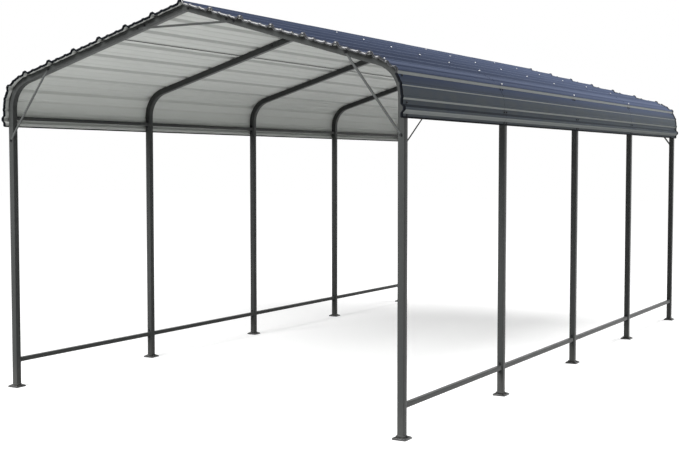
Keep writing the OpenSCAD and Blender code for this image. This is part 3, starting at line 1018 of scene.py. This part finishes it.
def make_frame_bolts():
    """Bolts of the rails, the ridge joints and the braces."""
    head = hex_bolt_shape()
    nut = nut_shape()
    for kind in RAIL_W:
        bm = bmesh.new()
        for at, direction in plate_places(kind):
            stamp(bm, head if direction[1] < 0 else nut, towards(at, direction))
        make_piece(f"{kind}_rail_bolts", bm, [BLACK_OXIDE])
    bm = bmesh.new()
    joint_x = JOINT_BOLT_REACH * math.cos(SLOPE)
    for y in FRAME_Y:
        for x in (RIDGE_BOLT_X, -joint_x, joint_x):
            bolt = on_rafter(x)
            stamp(bm, head, towards((bolt.x, y - TUBE / 2, bolt.y), (0, -1, 0)))
            stamp(bm, nut, towards((bolt.x, y + TUBE / 2, bolt.y), (0, 1, 0)))
    make_piece("ridge_joint_bolts", bm, [BLACK_OXIDE])
    bm = bmesh.new()
    for y, outward in END_FRAMES.values():
        for sign in SIDES.values():
            for bolt in (*knee_bolts(), on_rafter(TIE_REACH)):
                at = (sign * bolt.x, y + outward * TONGUE_T, bolt.y)
                stamp(bm, head, towards(at, (0, outward, 0)))
    make_piece("brace_bolts", bm, [BLACK_OXIDE])


def make_anchor_bolts():
    """Two ground bolts in the seats of every foot."""
    bm = bmesh.new()
    nut = nut_shape()
    for sign in SIDES.values():
        for y in FRAME_Y:
            for x in (-ANCHOR_SPACING / 2, ANCHOR_SPACING / 2):
                stamp(bm, nut, towards((sign * HALF_SPAN + x, y, ANCHOR_SEAT_H), (0, 0, 1)))
    make_piece("anchor_bolts", bm, [BLACK_OXIDE])


def screw_place(s, y, sign, h=0.0):
    """A place h over the sheets, looking straight out of the roof's surface."""
    x, z = roof_point(s, ROOF_TOP + h)
    turn = roof_turn(s)
    return towards((sign * x, y, z), (sign * math.sin(turn), 0, math.cos(turn)))


def make_roof_screws():
    """Bright screws on the slopes and bends, and dark ones on the fascias."""
    screw = roof_screw_shape()
    slope = bmesh.new()
    fascia = bmesh.new()
    for i, y in enumerate(FRAME_Y):
        # Over the inner frames, where sheets lap, the screws sit on the ribs, and at the ends in the pans
        lapped = 0 < i < FRAMES - 1
        for sign in SIDES.values():
            for k in range(1, SLOPE_RIBS + EAVE_RIBS):
                on_rib = screw_place(rib_s(k), y, sign, RIB[2])
                in_pan = screw_place(rib_s(k) - RIB_PITCH / 2, y, sign)
                stamp(slope, screw, on_rib if lapped else in_pan)
            for step in FASCIA_SCREWS:
                stamp(fascia, screw, screw_place(EDGE_S - step, y, sign))
                if lapped:
                    stamp(fascia, screw, screw_place(EDGE_S - step, y - LAP_SCREW_STEP, sign))
    make_piece("slope_screws", slope, [DULL_ZINC, WASHER_RUBBER])
    make_piece("fascia_screws", fascia, [BLACK_OXIDE, WASHER_RUBBER])


# Stage


def background_rays(tree):
    """1 for rays that show the background as it is: camera, mirror and see-through rays."""
    path = tree.nodes.new("ShaderNodeLightPath").outputs
    seen = math_node(tree, "MAXIMUM", path["Is Camera Ray"], path["Is Glossy Ray"])
    return math_node(tree, "MAXIMUM", seen, path["Is Transmission Ray"])


def mix_shader(tree, factor, a, b):
    return add(tree, "ShaderNodeMixShader", {0: factor, 1: a.outputs[0], 2: b.outputs[0]})


def floor_coat():
    """Pale and matt, with a glow that only the background's rays see, and clear from below."""
    made = bpy.data.materials.new("pale_floor")
    made.use_nodes = True
    tree = made.node_tree
    tree.nodes.clear()
    out = tree.nodes.new("ShaderNodeOutputMaterial")
    matt = add(tree, "ShaderNodeBsdfDiffuse", {"Color": colour(FLOOR_TONE, FLOOR_TONE, FLOOR_TONE)})
    place = tree.nodes.new("ShaderNodeTexCoord").outputs["Object"]
    reach = add(tree, "ShaderNodeVectorMath", {0: place}, operation="LENGTH").outputs["Value"]
    strength = ramp(tree, reach, FLOOR_NEAR, FLOOR_FAR, FLOOR_GLOW_NEAR, FLOOR_GLOW)
    glow = add(tree, "ShaderNodeEmission", {"Strength": strength})
    glowing = add(tree, "ShaderNodeAddShader", {0: matt.outputs[0], 1: glow.outputs[0]})
    above = mix_shader(tree, background_rays(tree), matt, glowing)
    from_below = tree.nodes.new("ShaderNodeNewGeometry").outputs["Backfacing"]
    shown = mix_shader(tree, from_below, above, tree.nodes.new("ShaderNodeBsdfTransparent"))
    tree.links.new(shown.outputs[0], out.inputs["Surface"])
    return made


def make_floor():
    """A pale floor that shows white, darker where the object shades it, and nothing from below."""
    bm = bmesh.new()
    bmesh.ops.create_grid(bm, x_segments=1, y_segments=1, size=FLOOR_HALF)
    bmesh.ops.translate(bm, verts=bm.verts[:], vec=(0, 0, -FLOOR_DROP))
    mesh = bpy.data.meshes.new("floor")
    bm.to_mesh(mesh)
    bm.free()
    mesh.materials.append(floor_coat())
    floor = bpy.data.objects.new("floor", mesh)
    bpy.context.scene.collection.objects.link(floor)


def make_world():
    """White behind the object, and an even soft light from all round."""
    world = bpy.data.worlds.new("studio")
    bpy.context.scene.world = world
    world.use_nodes = True
    tree = world.node_tree
    tree.nodes.clear()
    out = tree.nodes.new("ShaderNodeOutputWorld")
    light = add(tree, "ShaderNodeBackground", {"Color": WHITE, "Strength": WORLD_LIGHT})
    white = add(tree, "ShaderNodeBackground", {"Color": WHITE, "Strength": 1.0})
    shown = mix_shader(tree, background_rays(tree), light, white)
    tree.links.new(shown.outputs[0], out.inputs["Surface"])


def make_lamp(name, at, aim, size, power, in_gloss=True):
    """A round soft lamp, which may be kept out of glossy reflections."""
    data = bpy.data.lights.new(name, "AREA")
    data.shape = "DISK"
    data.size = size
    data.energy = power
    lamp = bpy.data.objects.new(name, data)
    lamp.location = at
    lamp.rotation_euler = (Vector(aim) - Vector(at)).to_track_quat("-Z", "Y").to_euler()
    lamp.visible_glossy = in_gloss
    bpy.context.scene.collection.objects.link(lamp)


def make_camera():
    """The photograph's view."""
    data = bpy.data.cameras.new("photo_view")
    data.lens = CAMERA_LENS
    data.sensor_width = CAMERA_SENSOR_W
    camera = bpy.data.objects.new("photo_view", data)
    level = math.cos(CAMERA_ELEVATION)
    back = Vector((math.sin(CAMERA_AZIMUTH) * level, -math.cos(CAMERA_AZIMUTH) * level,
                   math.sin(CAMERA_ELEVATION)))
    camera.location = CAMERA_AT
    camera.rotation_euler = (-back).to_track_quat("-Z", "Y").to_euler()
    bpy.context.scene.collection.objects.link(camera)
    bpy.context.scene.camera = camera


# The object
make_camera()
for side in SIDES:
    for i in range(FRAMES):
        make_post(side, i)
        make_bow(side, i)
    for kind in RAIL_W:
        make_rails(kind, side)
    make_feet(side)
make_ridge_elbows()
for end in END_FRAMES:
    make_braces(end)
    make_edge_bead(end)
for i in range(BAYS):
    # Sheets lap in turn, and the ridge row lies over both side rows
    level = i % 2
    for side, sign in SIDES.items():
        make_sheet(f"roof_sheet_{side}_{i + 1}", side_folds(), level, i, sign)
    make_sheet(f"roof_sheet_ridge_{i + 1}", ridge_folds(), LAP_LEVELS // 2 + level, i)
make_hems()
make_frame_bolts()
make_anchor_bolts()
make_roof_screws()

# Light and background
make_floor()
make_world()
make_lamp("front_key", at=(-4.6, -10.6, 11.3), aim=(0.0, -1.0, 1.2), size=5.0, power=1000.0)
make_lamp("front_fill", at=(-1.0, -10.5, 6.5), aim=(0.0, -3.0, 1.2), size=4.0, power=1450.0, in_gloss=False)
make_lamp("top", at=(3.5, 3.5, 8.0), aim=(0.9, 1.8, 2.4), size=4.0, power=820.0, in_gloss=False)
make_lamp("right_fill", at=(11.0, 1.0, 5.0), aim=(1.6, 0.0, 1.4), size=5.0, power=60.0)
bpy.context.scene.view_settings.view_transform = "Standard"
